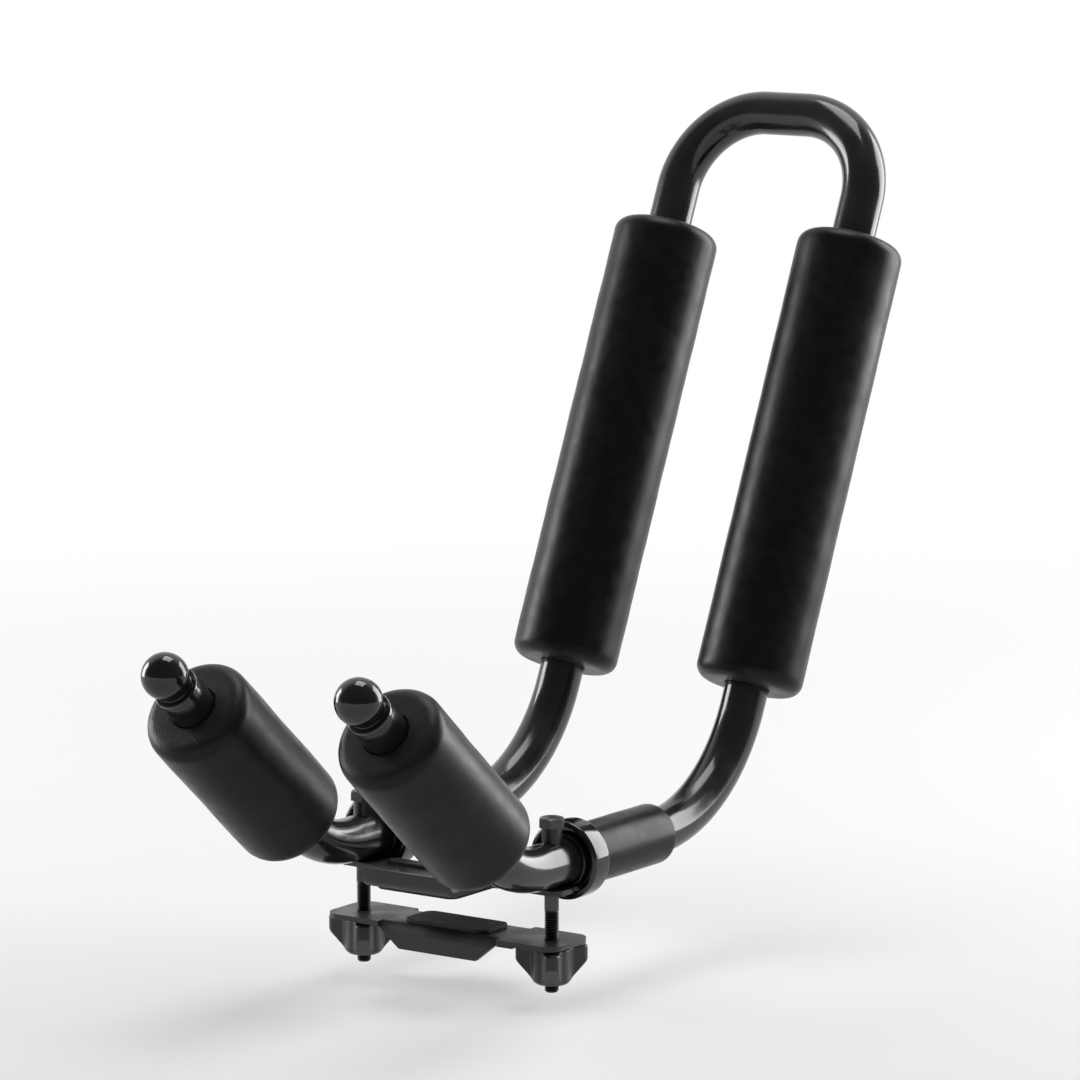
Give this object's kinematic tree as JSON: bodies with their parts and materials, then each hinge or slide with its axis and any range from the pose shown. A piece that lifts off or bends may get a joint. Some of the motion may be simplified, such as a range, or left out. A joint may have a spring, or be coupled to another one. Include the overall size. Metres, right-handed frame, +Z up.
{
  "type": "j style kayak carrier",
  "caption": "J-shaped bent-tube cradle with foam sleeves that holds a kayak on edge, clamped to a roof rack crossbar by a saddle, a jaw plate and wing knobs.",
  "frame": {"origin": "centre of the saddle liner's bearing face on top of the crossbar, midway between the clamp bolts", "axes": "+Z up, Y along the crossbar with the tall arms towards +Y, X along the vehicle across the two legs"},
  "size_m": [0.1898, 0.5352, 0.4676],
  "materials": {
    "tube_paint": "glossy black powder coat on steel tube",
    "plate_paint": "satin black powder coat on pressed steel",
    "foam": "satin charcoal closed-cell foam with a smooth skin",
    "gloss_moulding": "glossy black moulded plastic",
    "knob_moulding": "satin black moulded plastic",
    "liner_rubber": "matt black rubber sheet",
    "plated_steel": "black zinc plate"
  },
  "bodies": {
    "cradle": {"cradle_tube": "tube_paint", "front_ball_cap": "gloss_moulding", "rear_ball_cap": "gloss_moulding", "front_short_pad": "foam", "rear_short_pad": "foam", "front_base_pad": "foam", "rear_base_pad": "foam", "front_tall_pad": "foam", "rear_tall_pad": "foam", "front_collar": "gloss_moulding", "rear_collar": "gloss_moulding", "saddle_plate": "plate_paint", "saddle_liner": "liner_rubber", "front_bolt_spacer": "knob_moulding", "rear_bolt_spacer": "knob_moulding", "front_clamp_bolt": "plated_steel", "rear_clamp_bolt": "plated_steel"},
    "jaw": {"jaw_plate": "plate_paint", "jaw_liner": "liner_rubber", "front_thrust_washer": "plated_steel", "rear_thrust_washer": "plated_steel"},
    "front_knob": {"front_wing_knob": "knob_moulding", "front_knob_nut": "plated_steel"},
    "rear_knob": {"rear_wing_knob": "knob_moulding", "rear_knob_nut": "plated_steel"}
  },
  "joints": [
    {"name": "jaw_travel", "type": "slide", "parent": "cradle", "child": "jaw", "axis": [0, 0, -1], "range_m": [0, 0.01188]},
    {"name": "front_knob_turn", "type": "hinge", "parent": "jaw", "child": "front_knob", "pos_m": [0.064, 0, -0.04], "axis": [0, 0, -1], "range_deg": [0, 3420]},
    {"name": "rear_knob_turn", "type": "hinge", "parent": "jaw", "child": "rear_knob", "pos_m": [-0.064, 0, -0.04], "axis": [0, 0, -1], "range_deg": [0, 3420]}
  ],
  "couplings": [
    {"joint": "front_knob_turn", "follows": "jaw_travel", "rad_per_m": 5026.5},
    {"joint": "rear_knob_turn", "follows": "jaw_travel", "rad_per_m": 5026.5}
  ]
}
